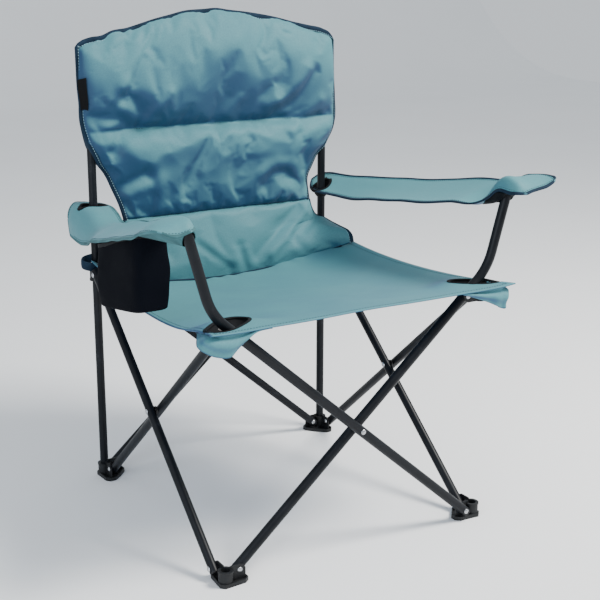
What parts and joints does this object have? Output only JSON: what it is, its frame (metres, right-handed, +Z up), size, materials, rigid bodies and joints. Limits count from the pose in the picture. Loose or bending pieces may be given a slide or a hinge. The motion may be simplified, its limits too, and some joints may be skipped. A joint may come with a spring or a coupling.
{
  "type": "folding camp chair",
  "caption": "Padded folding camp chair: black steel scissor frame, teal fabric seat, quilted back, fabric armrests and a side pouch.",
  "frame": {"origin": "ground point under the middle of the open chair's bounding box", "axes": "+Z up, -Y the way a sitter faces, +X to the right as seen from in front of the chair"},
  "size_m": [0.913, 0.696, 1.066],
  "materials": {
    "black_tube": "satin",
    "black_plastic": "matte",
    "plug_plastic": "matte",
    "rivet_steel": "polished",
    "seat_fabric": "woven",
    "padded_fabric": "woven",
    "pouch_fabric": "woven",
    "tag_fabric": "woven"
  },
  "bodies": {
    "rear_left": {"foot_rear_left": "black_plastic", "post_left": "black_tube", "post_cap_left": "plug_plastic", "rivets_foot_rear_left": "rivet_steel", "seat": "seat_fabric", "backrest": "padded_fabric", "label": "tag_fabric", "arm_left": "seat_fabric", "pouch": "pouch_fabric"},
    "side_left_inner": {"side_tube_left_inner": "black_tube", "plugs_left_inner": "plug_plastic", "rivet_cross_left": "rivet_steel", "spacer_left": "plug_plastic"},
    "side_left_outer": {"side_tube_left_outer": "black_tube", "plugs_left_outer": "plug_plastic"},
    "foot_front_left": {"foot_front_left": "black_plastic", "rivets_foot_front_left": "rivet_steel"},
    "slider_left": {"slider_left": "black_plastic", "rivets_slider_left": "rivet_steel"},
    "bracket_left": {"bracket_left": "black_plastic", "rivets_bracket_left": "rivet_steel"},
    "front_a": {"front_tube_a": "black_tube", "plugs_front_a": "plug_plastic", "rivet_cross_front": "rivet_steel", "spacer_front": "plug_plastic"},
    "front_b": {"front_tube_b": "black_tube", "plugs_front_b": "plug_plastic"},
    "back_a": {"back_tube_a": "black_tube", "plugs_back_a": "plug_plastic", "rivet_cross_back": "rivet_steel", "spacer_back": "plug_plastic"},
    "back_b": {"back_tube_b": "black_tube", "plugs_back_b": "plug_plastic"},
    "rear_right": {"foot_rear_right": "black_plastic", "post_right": "black_tube", "post_cap_right": "plug_plastic", "rivets_foot_rear_right": "rivet_steel", "arm_right": "seat_fabric"},
    "side_right_outer": {"side_tube_right_outer": "black_tube", "plugs_right_outer": "plug_plastic", "rivet_cross_right": "rivet_steel", "spacer_right": "plug_plastic"},
    "side_right_inner": {"side_tube_right_inner": "black_tube", "plugs_right_inner": "plug_plastic"},
    "foot_front_right": {"foot_front_right": "black_plastic", "rivets_foot_front_right": "rivet_steel"},
    "slider_right": {"slider_right": "black_plastic", "rivets_slider_right": "rivet_steel"},
    "bracket_right": {"bracket_right": "black_plastic", "rivets_bracket_right": "rivet_steel"}
  },
  "joints": [
    {"name": "fold", "type": "hinge", "parent": "rear_left", "child": "side_left_inner", "pos_m": [-0.2897, 0.27, 0.024], "axis": [-1, 0, 0], "range_deg": [0, 44], "deforming": ["seat", "backrest", "arm_left", "arm_right", "pouch", "label"]},
    {"name": "left_cross", "type": "hinge", "parent": "side_left_inner", "child": "side_left_outer", "pos_m": [-0.301, 0, 0.25871], "axis": [1, 0, 0], "range_deg": [0, 88]},
    {"name": "left_bracket", "type": "hinge", "parent": "side_left_inner", "child": "bracket_left", "pos_m": [-0.2897, -0.27, 0.49341], "axis": [1, 0, 0], "range_deg": [0, 44]},
    {"name": "left_front_foot", "type": "hinge", "parent": "side_left_outer", "child": "foot_front_left", "pos_m": [-0.3123, -0.27, 0.024], "axis": [-1, 0, 0], "range_deg": [0, 44]},
    {"name": "left_slider", "type": "hinge", "parent": "side_left_outer", "child": "slider_left", "pos_m": [-0.3123, 0.27, 0.49341], "axis": [-1, 0, 0], "range_deg": [0, 44]},
    {"name": "front_a_foot", "type": "hinge", "parent": "foot_front_left", "child": "front_a", "pos_m": [-0.27, -0.2892, 0.024], "axis": [0, -1, 0], "range_deg": [0, 44]},
    {"name": "front_cross", "type": "hinge", "parent": "front_a", "child": "front_b", "pos_m": [0, -0.301, 0.25871], "axis": [0, 1, 0], "range_deg": [0, 88]},
    {"name": "back_a_foot", "type": "hinge", "parent": "rear_left", "child": "back_a", "pos_m": [-0.27, 0.3123, 0.024], "axis": [0, -1, 0], "range_deg": [0, 44]},
    {"name": "back_cross", "type": "hinge", "parent": "back_a", "child": "back_b", "pos_m": [0, 0.301, 0.25871], "axis": [0, 1, 0], "range_deg": [0, 88]},
    {"name": "back_b_foot", "type": "hinge", "parent": "back_b", "child": "rear_right", "pos_m": [0.27, 0.2897, 0.024], "axis": [0, -1, 0], "range_deg": [0, 44]},
    {"name": "right_foot", "type": "hinge", "parent": "rear_right", "child": "side_right_outer", "pos_m": [0.3123, 0.27, 0.024], "axis": [-1, 0, 0], "range_deg": [0, 44]},
    {"name": "right_cross", "type": "hinge", "parent": "side_right_outer", "child": "side_right_inner", "pos_m": [0.301, 0, 0.25871], "axis": [1, 0, 0], "range_deg": [0, 88]},
    {"name": "right_bracket", "type": "hinge", "parent": "side_right_outer", "child": "bracket_right", "pos_m": [0.3123, -0.27, 0.49341], "axis": [1, 0, 0], "range_deg": [0, 44]},
    {"name": "right_front_foot", "type": "hinge", "parent": "side_right_inner", "child": "foot_front_right", "pos_m": [0.2897, -0.27, 0.024], "axis": [-1, 0, 0], "range_deg": [0, 44]},
    {"name": "right_slider", "type": "hinge", "parent": "side_right_inner", "child": "slider_right", "pos_m": [0.2897, 0.27, 0.49341], "axis": [-1, 0, 0], "range_deg": [0, 44]}
  ],
  "couplings": [
    {"joint": "left_cross", "follows": "fold", "ratio": 2},
    {"joint": "left_bracket", "follows": "fold", "ratio": 1},
    {"joint": "left_front_foot", "follows": "fold", "ratio": 1},
    {"joint": "left_slider", "follows": "fold", "ratio": 1},
    {"joint": "front_a_foot", "follows": "fold", "ratio": 1},
    {"joint": "front_cross", "follows": "fold", "ratio": 2},
    {"joint": "back_a_foot", "follows": "fold", "ratio": 1},
    {"joint": "back_cross", "follows": "fold", "ratio": 2},
    {"joint": "back_b_foot", "follows": "fold", "ratio": 1},
    {"joint": "right_foot", "follows": "fold", "ratio": 1},
    {"joint": "right_cross", "follows": "fold", "ratio": 2},
    {"joint": "right_bracket", "follows": "fold", "ratio": 1},
    {"joint": "right_front_foot", "follows": "fold", "ratio": 1},
    {"joint": "right_slider", "follows": "fold", "ratio": 1}
  ]
}
